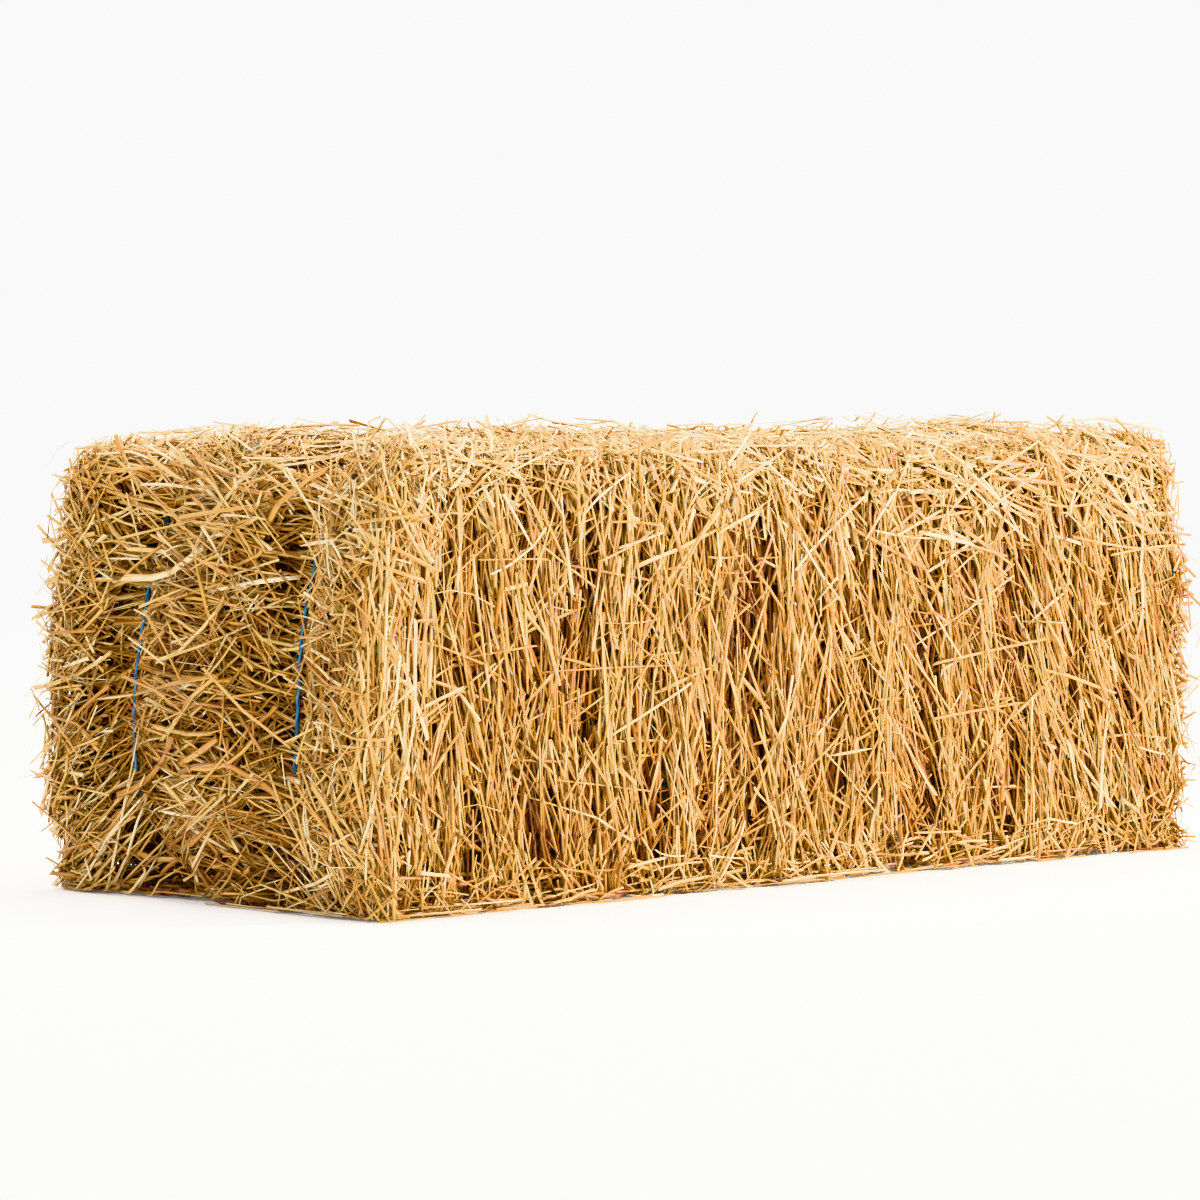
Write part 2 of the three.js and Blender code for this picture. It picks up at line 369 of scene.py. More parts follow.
def bounded(line):
    """A line that goes neither into the ground nor too far above the bale."""
    line[..., 2] = line[..., 2].clip(LOWEST, HIGHEST)
    return line


def away_from(way, heading):
    """The part of `way` that is square to `heading`."""
    return unit(way - (way * heading).sum(axis=-1, keepdims=True) * heading)


@dataclass
class Course:
    """How each straw of a batch runs: a little bent, and perhaps kinked at its node."""

    start: np.ndarray
    heading: np.ndarray
    bend: np.ndarray
    kink: np.ndarray = None
    kink_at: np.ndarray = None

    def at(self, steps):
        """Places at the distances `steps` along each straw from its start."""
        places = self.start[:, None] + self.heading[:, None] * steps[..., None]
        places += self.bend[:, None] * (steps**2)[..., None]
        if self.kink is None:
            return places
        past = np.maximum(steps - self.kink_at[:, None], 0)
        return places + self.kink[:, None] * past[..., None]

    def room(self, sign, length, overshoot):
        """How far each straw runs one way before it stands out past the bale's edge."""
        samples = 12
        steps = sign * np.linspace(0, 1, samples) * length[:, None] / 2
        distance, _ = skin(self.at(steps).reshape(-1, 3), seams=0, twines=0)
        over = distance.reshape(steps.shape) > overshoot[:, None]
        inside = np.where(over.any(axis=1), over.argmax(axis=1), samples)
        return length / 2 * np.clip(inside / samples, 0.08, 1)


def sideways(heading, way, amount, rise=0.5):
    """Random vectors square to the headings, mostly along the face."""
    roll = rng.uniform(0, 2 * math.pi, len(heading))[:, None]
    across = np.cross(heading, way)
    return (np.cos(roll) * across + rise * np.sin(roll) * way) * amount[:, None]


def pick(low, high, count):
    """Random sizes between two limits, most of them towards the lower one."""
    return rng.triangular(low, low + 0.35 * (high - low), high, count)


def grow(
    name, count, depth, length, places, tilt=5.0, noded=0.45, wrap=0.2, overshoot=9 * MM,
    where=(ALL, ALL), lean=None, packed=1.0, curl=0.6,
):
    """Centre lines of `count` straws on a face, with the way out at each and its node.

    depth and length are (least, most). tilt is the spread, in degrees, of how steeply straws
    stand out. noded is the share with a node. wrap is the share that bends round the bale's
    edges where the others end up to `overshoot` past them. lean, in degrees, is (main
    direction, spread) for straws laid apart from the face's clumps. packed is 0 for loose
    straws, which lie over the twines and the gaps. curl is the spread of their bends.
    """
    face = FACES[name]
    u, v = face.scatter(count, where)
    start = press(face.lift(u, v), 0.0, seams=0, twines=packed)
    _, way = skin(start, seams=0, twines=0)
    low = gaps(name, u, v) + SEAM_DEPTH * seam_groove(start[:, 0], start[:, 2])
    sunk = np.minimum(rng.uniform(*depth, count) + low * packed, DEEPEST)
    start -= way * sunk[:, None]
    angle = headings(face, u, v) if lean is None else np.radians(rng.normal(*lean, count))
    level = away_from(face.level(angle), way)
    pitch = rng.normal(0, math.radians(tilt), count)[:, None]
    heading = np.cos(pitch) * level + np.sin(pitch) * way
    whole = pick(*length, count)
    bend = sideways(heading, way, rng.normal(0, curl, count))
    has_node = rng.random(count) < noded
    turn = np.where(rng.random(count) < 0.2, 0.4, 0.1)
    kink = sideways(heading, way, rng.normal(0, 1, count) * turn * has_node)
    kink_at = rng.uniform(-0.35, 0.35, count) * whole
    course = Course(start, heading, bend, kink, kink_at)
    stand = np.maximum(-sunk, 0.5 * MM)
    over = stand + rng.uniform(0, overshoot, count)
    wraps = rng.random(count) < wrap
    back, ahead = (
        np.where(wraps, whole / 2, course.room(sign, whole, over)) for sign in (-1, 1)
    )
    share = np.linspace(0, 1, places)
    steps = -back[:, None] + (back + ahead)[:, None] * share
    steps, joint = set_nodes(steps, kink_at, has_node)
    if packed:
        steps = meet_twine(steps, start, heading)
    line = course.at(steps)
    in_groove = packed * bell(np.abs(line[..., 1]) - TWINE_Y, 1.6 * GROOVE_WIDTH)
    lifted = stand[:, None] + (over - stand)[:, None] * (2 * np.abs(share - 0.5)) ** 3
    line = press(line, lifted * (1 - in_groove), seams=0, twines=packed)
    return bounded(line), way, joint


def nearest(steps, at, margin):
    """Which place of each straw is nearest to a distance along it, and whether that is inside."""
    column = np.abs(steps - np.nan_to_num(at)[:, None]).argmin(axis=1)
    inside = (at > steps[:, 1]) & (at < steps[:, -2])
    return column.clip(margin, steps.shape[1] - 1 - margin), inside


def move(steps, column, chosen, at):
    """Puts one place of each chosen straw at the given distance along it."""
    rows = np.arange(len(steps))
    steps[rows, column] = np.where(chosen, at, steps[rows, column])


def set_nodes(steps, kink_at, has_node):
    """Draws three neighbouring places together round each stem's node."""
    joint = np.zeros_like(steps)
    if steps.shape[1] < 6:
        return steps, joint
    middle, inside = nearest(steps, kink_at, 2)
    for shift in (-1, 0, 1):
        move(steps, middle + shift, inside & has_node, kink_at + shift * NODE_REACH)
    joint[np.arange(len(steps)), middle] = inside & has_node
    return np.sort(steps, axis=1), joint


def meet_twine(steps, start, heading):
    """Puts a place of each straw where it crosses a twine's groove, so that it bends in there."""
    for side in (-TWINE_Y, TWINE_Y):
        speed = np.where(np.abs(heading[:, 1]) < 0.2, np.nan, heading[:, 1])
        crossing = (side - start[:, 1]) / speed
        column, inside = nearest(steps, crossing, 1)
        move(steps, column, inside, crossing)
    return np.sort(steps, axis=1)


def shade_at(line):
    """Painted shade for what lies deep, in the twines' grooves or low down: 1 on the surface, 0 at
    DARK_DEPTH and below.

    Above 1, up to PROUDEST, it tells how far a straw stands proud of its neighbours.
    """
    flat = line.reshape(-1, 3)
    held = 1 - LOW_GROOVES * (flat[:, 2] < HEIGHT / 2)
    distance, _ = skin(flat, seams=0, twines=held)
    depth = np.clip(1 + distance.reshape(line.shape[:-1]) / DARK_DEPTH, 0, PROUDEST)
    return depth * (1 - FOOT_PAINTED_SHADE * bell(line[..., 2], FOOT_HEIGHT))


def tones(way, least, most, pale=0.0):
    """Random tones, most of them midway, and paler the more a straw faces up: painted light from
    above.
    """
    drawn = least + (most - least) * rng.beta(2.0, 1.9, len(way))
    return np.clip(drawn + pale + TOP_PAINTED_LIGHT * np.clip(way[:, 2], 0, 1), 0, 1)


CRUSHED = 0.36  # share of stems crushed flat
TRODDEN = 0.3  # share of ends trodden flat
NODE_SWELL = 0.22  # how much wider a stem is at its node


def as_stems(line, way, width, joint=0.0, pale=0.0):
    """Round or half crushed stems along the given centre lines."""
    count, places = line.shape[:2]
    joint = np.broadcast_to(joint, (count, places))
    radius = pick(*width, count) / 2
    taper = np.linspace(1, rng.uniform(0.72, 1.0, count), places, axis=1)
    wide = radius[:, None] * taper * (1 + NODE_SWELL * joint)
    crushed = rng.random(count) < CRUSHED
    thin = wide * np.where(crushed, 0.26, rng.uniform(0.6, 0.98, count))[:, None]
    wide = wide * np.where(crushed, 1.4, 1)[:, None]
    for end in (0, -1):
        flattened = rng.random(count) < TRODDEN
        wide[:, end] *= np.where(flattened, 1.35, 1)
        thin[:, end] *= np.where(flattened, 0.4, 1)
    tone = tones(way, 0, 1, pale)
    slant = rng.normal(0, 0.9, (count, 2))
    twist = rng.normal(0, 0.9, count)
    return Straws(line, way, wide, thin, tone, shade_at(line), joint, slant, twist)


def stems(name, count, depth, length, width, places, pale=0.0, **how):
    line, way, joint = grow(name, count, depth, length, places, **how)
    return as_stems(line, way, width, joint, pale)


def torn(name, count, depth, length, width, profile, thick, ruffle, **how):
    """Thin flat pieces, as wide along them as `profile` says, as a share of their width.

    ruffle is how much they vary in the way they face, the slant of their ends and their twist.
    """
    line, way, joint = grow(name, count, depth, length, len(profile), noded=0, **how)
    wide = pick(*width, count)[:, None] / 2 * profile
    thin = np.full_like(wide, thick)
    facing = unit(way + rng.normal(0, ruffle[0], way.shape))
    tone = tones(way, 0.1, 1.1)
    slant = rng.normal(0, ruffle[1], (count, 2))
    twist = rng.normal(0, ruffle[2], count)
    return Straws(line, facing, wide, thin, tone, shade_at(line), joint, slant, twist)


def ribbons(name, count, depth, length, width):
    """Torn leaves and sheaths."""
    share = np.linspace(0, 1, 6)
    profile = (1 - 0.75 * np.abs(2 * share - 0.8) ** 2.5).clip(0.18, 1)
    how = {"tilt": 7, "wrap": 0.5, "overshoot": 12 * MM}
    return torn(name, count, depth, length, width, profile, 0.28 * MM, (0.55, 1.5, 1.3), **how)


def chaff(name, count, depth, length, width):
    """Chips and shreds caught among the straws."""
    profile = np.array([0.6, 1, 0.5])
    how = {"tilt": 22, "wrap": 1, "overshoot": 2 * MM}
    return torn(name, count, depth, length, width, profile, 0.3 * MM, (0.8, 0.8, 0.6), **how)


def stubs(name, count, stand, length, width, spread=24, curl=2.5):
    """Short cut ends that stand out of a face at a slant, roughly the way the straws lie."""
    face = FACES[name]
    u, v = face.scatter(count)
    root = press(face.lift(u, v), 0.0)
    _, way = skin(root, seams=0, twines=0)
    turned = rng.normal(0, math.radians(spread), count) + math.pi * rng.integers(0, 2, count)
    level = away_from(face.level(headings(face, u, v) + turned), way)
    rise = np.radians(rng.uniform(8, 50, count))[:, None]
    heading = np.cos(rise) * level + np.sin(rise) * way
    height = rng.uniform(*stand, count)  # of the tip over the pressed surface
    steps = (np.linspace(0, 1, 3) - 1) * rng.uniform(*length, count)[:, None]
    bend = sideways(heading, way, rng.normal(0, curl, count), rise=1)
    line = Course(root + way * height[:, None], heading, bend).at(steps)
    line = press(line, np.broadcast_to(height[:, None], line.shape[:2]), twines=1.3)
    return as_stems(bounded(line), way, width)


def lying_straws(name, count, length, width, reach, shade, places):
    """Straws on the ground along the foot of a face: `reach` is how far out of it they lie."""
    face = FACES[name]
    whole = pick(*length, count)
    u = rng.uniform(-1, 1, count) * (face.half_along - whole / 2)
    foot = press(face.lift(u, np.full(count, 3 * MM - face.half_up)), 0.0, seams=0, twines=0)
    start = foot + np.array(face.out) * rng.uniform(*reach, count)[:, None]
    spread = np.where(rng.random(count) < 0.45, 50, 14)  # in degrees
    heading = face.level(np.radians(rng.normal(0, 1, count) * spread)) * (1, 1, 0)
    bend = np.cross(heading, UP) * rng.normal(0, 1.5, count)[:, None]
    line = Course(start, heading, bend).at(np.linspace(-0.5, 0.5, places) * whole[:, None])
    line = press(line, reach[1] * rng.uniform(0.2, 1, count)[:, None], seams=0, twines=0)
    line[..., 2] = rng.uniform(*mm(1.2, 9), count)[:, None]
    way = np.tile(UP, (count, 1)).astype(float)
    laid = as_stems(line, way, width, pale=-0.1)
    laid.shade[:] = rng.uniform(*shade, count)[:, None]
    return laid


TWINE_RADIUS = 1.6 * MM
CLEAR_OF_TWINE = 3.5 * MM  # room beside the twine where it is bare
TWINE_LIFT = 3.4 * MM  # of its centre line over the pressed surface in its groove
BARE_FRONT = mm(150, 300)  # heights between which the front twine is bare on the ends
BARE_BACK = mm(100, 245)
ON_TOP = 0.42  # share of straws left off the twines on the top


def crossing_twine(straws):
    """Which straws lie over a twine where it is bare."""
    samples = 40
    places = straws.line.shape[1]
    at = np.linspace(0, places - 1, samples)
    first = np.minimum(at.astype(int), places - 2)
    share = (at - first)[:, None]
    line = straws.line[:, first] * (1 - share) + straws.line[:, first + 1] * share
    x, y, z = np.moveaxis(line, -1, 0)
    reach = TWINE_RADIUS + straws.wide.max(axis=1)[:, None] + CLEAR_OF_TWINE
    beside = np.abs(np.abs(y) - TWINE_Y) < reach
    distance, _ = skin(line.reshape(-1, 3), seams=0)
    over = beside & (distance.reshape(x.shape) > TWINE_LIFT - straws.thin.max(axis=1)[:, None])
    low, high = (np.where(y < 0, *pair) for pair in zip(BARE_FRONT, BARE_BACK))
    bare = (z > low) & (z < high) & (np.abs(x) > HALF_LENGTH / 2)
    on_top = (z > HEIGHT / 2) & (np.abs(x) < HALF_LENGTH - TOP_PULL - END_SWELL)
    bare |= on_top & (rng.random(len(line)) < ON_TOP)[:, None]
    return (over & bare).any(axis=1)


# ---------------- straws as meshes

FIBRE_SCALE = 100  # of the UVs that the streaks follow: so many along a metre of straw
HOLLOW_DEPTH = 5 * MM
WALL = 0.68  # bore of a hollow stem as a share of its outside
GROUND_GAP = 0.2 * MM  # what touches the ground is pressed flat on it


def frames(line, facing):
    """Directions along, across and out of a line, where `facing` is roughly the way out."""
    along = unit(np.gradient(line, axis=-2))
    across = unit(np.cross(facing, along))
    return along, across, np.cross(along, across)


def ring_turns(sides):
    return 2 * math.pi * np.arange(sides) / sides - math.pi / 2


def run_along(line):
    """How far each place of a line is from its start, along it."""
    steps = np.linalg.norm(np.diff(line, axis=-2), axis=-1)
    return np.concatenate([np.zeros_like(steps[..., :1]), np.cumsum(steps, axis=-1)], axis=-1)


def sweep(straws, sides, hollow):
    """Rings of points round each centre line, what is painted on them, and their places."""
    line, wide, thin = straws.line, straws.wide, straws.thin
    along, across, out = frames(line, straws.facing[:, None])
    turn = (straws.twist[:, None] * np.linspace(-0.5, 0.5, line.shape[1]))[..., None]
    across, out = (
        across * np.cos(turn) + out * np.sin(turn),
        out * np.cos(turn) - across * np.sin(turn),
    )
    cut = np.zeros(wide.shape)
    cut[:, 0] = straws.slant[:, 0]
    cut[:, -1] = straws.slant[:, 1]
    order = np.arange(line.shape[1])
    if hollow:
        order = np.concatenate([[0, 0], order, [-1, -1]])
    line, along, across, out = (values[:, order] for values in (line, along, across, out))
    wide, thin, cut = (values[:, order] for values in (wide, thin, cut))
    shade, joint = straws.shade[:, order], straws.joint[:, order]
    if hollow:
        line[:, 0] += along[:, 0] * HOLLOW_DEPTH
        line[:, -1] -= along[:, -1] * HOLLOW_DEPTH
        for ring in (0, 1, -2, -1):
            wide[:, ring] *= WALL
            thin[:, ring] *= WALL
        # painted shade inside the bore of each hollow end
        shade[:, [0, -1]] *= 0.3
    turn = ring_turns(sides)
    sideways_part = (np.cos(turn) * wide[..., None])[..., None]
    outward_part = (np.sin(turn) * thin[..., None])[..., None]
    points = line[:, :, None] + across[:, :, None] * sideways_part + out[:, :, None] * outward_part
    points += along[:, :, None] * (cut[..., None, None] * sideways_part)
    tone = np.broadcast_to(straws.tone[:, None], shade.shape)
    paint = np.stack([tone, shade, joint, np.ones_like(shade)], axis=-1)
    return points, np.repeat(paint[:, :, None], sides, axis=2), line


def fill(group, key, values, kind=np.float32):
    """Sets one property of all the items in a group, such as a mesh's vertices."""
    group.foreach_set(key, values.astype(kind).ravel())


class Pile:
    """Collects tubes and blocks, and turns them into one mesh."""

    def __init__(self):
        self.layers = {}
        self.tones = []  # one for each cell of the atlas
        self.vert_count = 0
        self.corner_count = 0

    def keep(self, **values):
        for key, value in values.items():
            self.layers.setdefault(key, []).append(value)

    def faces(self, corners, smooth, slot, fibre, cell, owner):
        """Adds faces given by their corners, each with its UVs and its cell of the atlas."""
        corners = np.asarray(corners)
        count, size = corners.shape
        self.keep(
            loops=(corners + self.vert_count).ravel(),
            starts=self.corner_count + np.arange(count) * size,
            smooth=np.broadcast_to(smooth, count),
            slots=np.full(count, slot),
            fibre=fibre.reshape(-1, 2),
            cells=cell.reshape(-1, 2),
            owners=np.repeat(owner, size) + len(self.tones),
        )
        self.corner_count += count * size

    def verts(self, points, paint, tones):
        points[..., 2] = np.maximum(points[..., 2], GROUND_GAP)
        self.keep(verts=points.reshape(-1, 3), paint=paint.reshape(-1, 4))
        self.vert_count += points.size // 3
        self.tones.extend(tones)

    def tubes(self, points, paint, line, slot, flat_rings=(), strips=1):
        """Adds tubes given by their rings. A long one takes several strips of the atlas."""
        count, rings, sides = points.shape[:3]
        ring, side = (i.ravel() for i in np.indices((rings - 1, sides)))
        spans = ring[:, None] + [0, 0, 1, 1]
        turns = side[:, None] + [0, 1, 1, 0]
        base = np.arange(count)[:, None, None] * rings * sides
        quads = base + spans * sides + turns % sides
        run = run_along(line) * FIBRE_SCALE + rng.uniform(0, 40, (count, 1))
        around = np.broadcast_to(turns / sides, (count, *turns.shape))
        fibre = np.stack([run[:, spans], around], axis=-1)
        each = math.ceil((rings - 1) / strips)
        strip = ring // each
        local = np.broadcast_to((spans - strip[:, None] * each) / each, around.shape)
        cell = np.stack([local, around], axis=-1)
        owner = np.arange(count)[:, None] * strips + strip
        smooth = np.tile(~np.isin(ring, flat_rings), count)
        self.faces(quads.reshape(-1, 4), smooth, slot, fibre, cell, owner.ravel())
        order = np.arange(sides)
        for end, corners in ((0, order[::-1]), (-1, (rings - 1) * sides + order)):
            places = np.broadcast_arrays(run[:, [end]], float(-end), corners % sides / sides)
            fibre, cell = (np.stack([place, places[2]], axis=-1) for place in places[:2])
            owner = np.arange(count) * strips + end % strips
            self.faces(base[:, 0] + corners, False, slot, fibre, cell, owner)
        self.verts(points, paint, np.repeat(paint[:, 0, 0, 0] + slot, strips))

    def add(self, straws, sides, hollow=False, slot=0, over_twine=False):
        if not over_twine:
            straws = straws.keep(~crossing_twine(straws))
        if len(straws.line) == 0:
            return
        points, paint, line = sweep(straws, sides, hollow)
        rings = points.shape[1]
        rims = (0, 1, rings - 3, rings - 2) if hollow else ()
        self.tubes(points, paint, line, slot, rims)

    def atlas(self):
        """Each straw's own cell of the atlas, with straws of like tone side by side."""
        rank = np.argsort(np.argsort(self.tones, kind="stable"), kind="stable")
        rows = math.ceil(math.sqrt(len(rank) * 4))
        columns = math.ceil(len(rank) / rows)
        column, row = np.divmod(rank[np.concatenate(self.layers["owners"])], rows)
        row = np.where(column % 2 == 1, rows - 1 - row, row)
        inner = 0.1 + 0.8 * np.concatenate(self.layers["cells"])
        return np.column_stack([(column + inner[:, 0]) / columns, (row + inner[:, 1]) / rows])

    def mesh(self, name, materials):
        layer = {key: np.concatenate(values) for key, values in self.layers.items()}
        mesh = bpy.data.meshes.new(name)
        mesh.vertices.add(self.vert_count)
        fill(mesh.vertices, "co", layer["verts"])
        mesh.loops.add(self.corner_count)
        fill(mesh.loops, "vertex_index", layer["loops"], np.int32)
        mesh.polygons.add(len(layer["starts"]))
        fill(mesh.polygons, "loop_start", layer["starts"], np.int32)
        fill(mesh.polygons, "material_index", layer["slots"], np.int32)
        fill(mesh.polygons, "use_smooth", layer["smooth"], bool)
        fill(mesh.attributes.new("straw", "FLOAT_COLOR", "POINT").data, "color", layer["paint"])
        for key, values in (("Fibre", layer["fibre"]), ("OFBake", self.atlas())):
            fill(mesh.uv_layers.new(name=key).data, "uv", values)
        for material in materials:
            mesh.materials.append(material)
        mesh.update(calc_edges=True)
        mesh.validate()
        return mesh

    def piece(self, name, materials, slot, *replaced):
        """Makes the mesh a piece that rides with the bale."""
        piece = bpy.data.objects.new(name, self.mesh(name, materials))
        bpy.context.collection.objects.link(piece)
        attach(piece, "root")
        if replaced:
            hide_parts(*replaced)


# ---------------- materials


def linear(red, green, blue):
    """A colour given as 0 to 255 sRGB values, in the linear values that shaders take."""
    values = (channel / 255 for channel in (red, green, blue))
    return (*(v / 12.92 if v < 0.04045 else ((v + 0.055) / 1.055) ** 2.4 for v in values), 1)


class Nodes:
    """A new material and short ways to add and join its nodes."""

    def __init__(self, name):
        self.material = bpy.data.materials.new(name)
        self.material.use_nodes = True
        self.tree = self.material.node_tree
        self.shader = self.tree.nodes["Principled BSDF"]

    def add(self, kind, inputs=None, **settings):
        node = self.tree.nodes.new(kind)
        for key, value in settings.items():
            setattr(node, key, value)
        for key, value in (inputs or {}).items():
            self.set(node.inputs[key], value)
        return node

    def set(self, socket, value):
        if isinstance(value, bpy.types.NodeSocket):
            self.tree.links.new(value, socket)
        else:
            socket.default_value = value

    def painted(self):
        """What the mesh's layer `straw` holds: tone, shade and joint, or a twine's ridges."""
        paint = self.add("ShaderNodeAttribute", attribute_name="straw")
        parts = self.add("ShaderNodeSeparateColor", {"Color": paint.outputs["Color"]})
        return [parts.outputs[key] for key in ("Red", "Green", "Blue")]

    def fibre(self):
        return self.add("ShaderNodeUVMap", uv_map="Fibre").outputs["UV"]

    def place(self):
        return self.add("ShaderNodeTexCoord").outputs["Object"]

    def ramp(self, factor, stops):
        node = self.add("ShaderNodeValToRGB", {"Fac": factor})
        elements = node.color_ramp.elements
        while len(elements) < len(stops):
            elements.new(0.5)
        for element, (position, colour) in zip(elements, stops):
            element.position = position
            element.color = colour
        return node.outputs["Color"]

    def blend(self, mode, factor, first, second):
        node = self.add("ShaderNodeMix", data_type="RGBA", blend_type=mode)
        self.set(node.inputs["Factor"], factor)
        self.set(node.inputs[6], first)
        self.set(node.inputs[7], second)
        return node.outputs[2]

    def multiplied(self, colour, factor, stops):
        """A colour multiplied by those of a ramp."""
        return self.blend("MULTIPLY", 1.0, colour, self.ramp(factor, stops))

    def math(self, operation, first, second=0.0):
        node = self.add("ShaderNodeMath", {0: first, 1: second}, operation=operation)
        return node.outputs[0]

    def between(self, value, low, high):
        """Stretches a 0 to 1 value to the range low to high."""
        node = self.add("ShaderNodeMapRange", {"Value": value, "To Min": low, "To Max": high})
        return node.outputs["Result"]

    def noise(self, vector, scale, detail=3.0):
        inputs = {"Vector": vector, "Scale": scale, "Detail": detail, "Roughness": 0.55}
        return self.add("ShaderNodeTexNoise", inputs).outputs["Fac"]

    def streaks(self, vector, scale, detail=3.0):
        """Noise stretched by a scale of its own each way."""
        node = self.add("ShaderNodeMapping", {"Vector": vector, "Scale": scale})
        return self.noise(node.outputs["Vector"], 1.0, detail)

    def bump(self, height, strength, distance):
        inputs = {"Height": height, "Strength": strength, "Distance": distance}
        return self.add("ShaderNodeBump", inputs).outputs["Normal"]

    def finish(self, inputs):
        """Sets sockets of the shader, and returns the material."""
        for key, value in inputs.items():
            self.set(self.shader.inputs[key], value)
        return self.material


def grey(value):
    return (value, value, value, 1)


def stem_material(name, stops, streak_depth, roughness, specular):
    """Dry straw: its own tone, fine streaks along it, blotches and darker nodes, with painted
    light and shade across each straw and painted shade from its `shade`.
    """
    n = Nodes(name)
    tone, shade, joint = n.painted()
    fibre = n.fibre()
    streak = n.streaks(fibre, (0.3, 12, 1))
    patch = n.between(n.noise(n.place(), 14.0, 2.0), -0.16, 0.16)
    blotch = n.between(n.streaks(fibre, (0.45, 0.8, 1)), -0.28, 0.28)
    colour = n.ramp(n.math("ADD", n.math("ADD", tone, patch), blotch), stops)
    fine = [(0.3, grey(1 - streak_depth)), (0.7, grey(1 + streak_depth * 0.35))]
    colour = n.multiplied(colour, streak, fine)
    # painted light and shade along coarse ridges of each straw, up to paler than its own colour
    painted_ridge_light = [(0.36, linear(216, 192, 148)), (0.52, grey(1)), (0.68, grey(1.12))]
    colour = n.multiplied(colour, n.streaks(fibre, (0.1, 4.5, 3), 1.0), painted_ridge_light)
    # painted shade on each straw's sides, away from its outward face, less on straws that stand
    # proud
    turn = n.add("ShaderNodeSeparateXYZ", {"Vector": fibre}).outputs["Y"]
    inner = n.math("ABSOLUTE", n.math("SUBTRACT", turn, 0.5))
    sides = [(0.06, grey(1)), (0.22, linear(232, 215, 180)), (0.46, linear(210, 184, 136))]
    hidden = n.add("ShaderNodeMapRange", {"Value": shade, "From Min": PROUDEST, "From Max": 1})
    colour = n.blend("MULTIPLY", hidden.outputs["Result"], colour, n.ramp(inner, sides))
    lines = [(0.3, linear(150, 112, 60)), (0.42, grey(1))]
    colour = n.multiplied(colour, n.streaks(fibre, (0.22, 17, 7), 1.0), lines)
    colour = n.blend("MIX", n.math("MULTIPLY", joint, 0.65), colour, linear(128, 84, 36))
    # painted shade from `shade`: darker deep in the bale, in the twines' grooves and near the
    # ground
    deep = [(0.0, linear(178, 132, 58)), (0.45, linear(240, 216, 166)), (0.85, grey(1))]
    return n.finish({
        "Base Color": n.multiplied(colour, shade, deep),
        "Roughness": n.between(streak, roughness - 0.12, roughness + 0.12),
        "Specular IOR Level": specular,
        "Normal": n.bump(streak, 0.6, 0.5 * MM),
    })


STEM_STOPS = [
    (0.0, linear(150, 96, 31)),
    (0.25, linear(182, 127, 48)),
    (0.5, linear(199, 153, 75)),
    (0.75, linear(213, 181, 112)),
    (1.0, linear(242, 229, 196)),
]
LEAF_STOPS = [
    (0.0, linear(162, 109, 41)),
    (0.4, linear(197, 154, 76)),
    (0.75, linear(215, 185, 126)),
    (1.0, linear(242, 229, 198)),
]


def core_material():
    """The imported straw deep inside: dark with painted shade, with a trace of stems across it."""
    n = Nodes("packed straw in painted shade")
    strands = n.streaks(n.place(), (60, 60, 380), 4.0)
    return n.finish({
        "Base Color": n.ramp(strands, [(0.3, linear(24, 12, 4)), (0.7, linear(72, 42, 16))]),
        "Roughness": n.between(strands, 0.8, 0.95),
        "Normal": n.bump(strands, 0.8, 3 * MM),
    })


def twine_material():
    """Twisted polypropylene film: blue, satin, with painted light on the ridges and painted shade
    in the hollows of its twist, and patches of dust.
    """
    n = Nodes("baling twine")
    ridge = n.painted()[0]
    film = n.streaks(n.fibre(), (1.0, 14, 1))
    shown = n.math("ADD", n.math("MULTIPLY", ridge, 0.6), n.between(film, 0.0, 0.4))
    stops = [(0.2, linear(6, 34, 48)), (0.5, linear(16, 80, 112)), (0.9, linear(60, 132, 164))]
    dust = n.ramp(n.noise(n.place(), 60.0), [(0.56, grey(0)), (0.75, grey(0.35))])
    return n.finish({
        "Base Color": n.blend("MIX", dust, n.ramp(shown, stops), linear(150, 150, 130)),
        "Roughness": n.between(film, 0.34, 0.6),
        "Normal": n.bump(film, 0.5, 0.6 * MM),
    })


def floor_material():
    n = Nodes("pale floor")
    grain = n.noise(n.place(), 6.0)
    return n.finish({
        "Base Color": n.ramp(grain, [(0.0, grey(0.93)), (1.0, grey(0.96))]),
        "Roughness": 0.9,
        "Specular IOR Level": 0.1,
        "Emission Color": grey(1),
        "Emission Strength": 0.1,
    })


# ---------------- flakes


def joined(batches):
    """Batches with the same number of places, as one."""
    names = [part.name for part in fields(Straws)]
    return Straws(*(np.concatenate([getattr(b, name) for b in batches]) for name in names))


STEM_SLOT, LEAF_SLOT, CORE_SLOT = 0, 1, 2  # material slots of the straw's meshes


@dataclass
class Kind:
    """A kind of straw: how many lie on a square metre, and how they are made."""

    make: object  # the function that makes them
    per_area: int  # for loose straws it is how many there are in all
    sides: int
    depth: tuple  # least and most, in mm. For stubs it is how far they stand out.
    length: tuple
    width: tuple
    slot: int = STEM_SLOT
    hollow: bool = False
    how: dict = field(default_factory=dict)  # what else the function takes

    def lay(self, name, count):
        sizes = mm(*self.depth), mm(*self.length), mm(*self.width)
        return self.make(name, count, *sizes, **self.how)


def stem(per_area, sides, depth, length, width, **how):
    return Kind(stems, per_area, sides, depth, length, width, how=how)


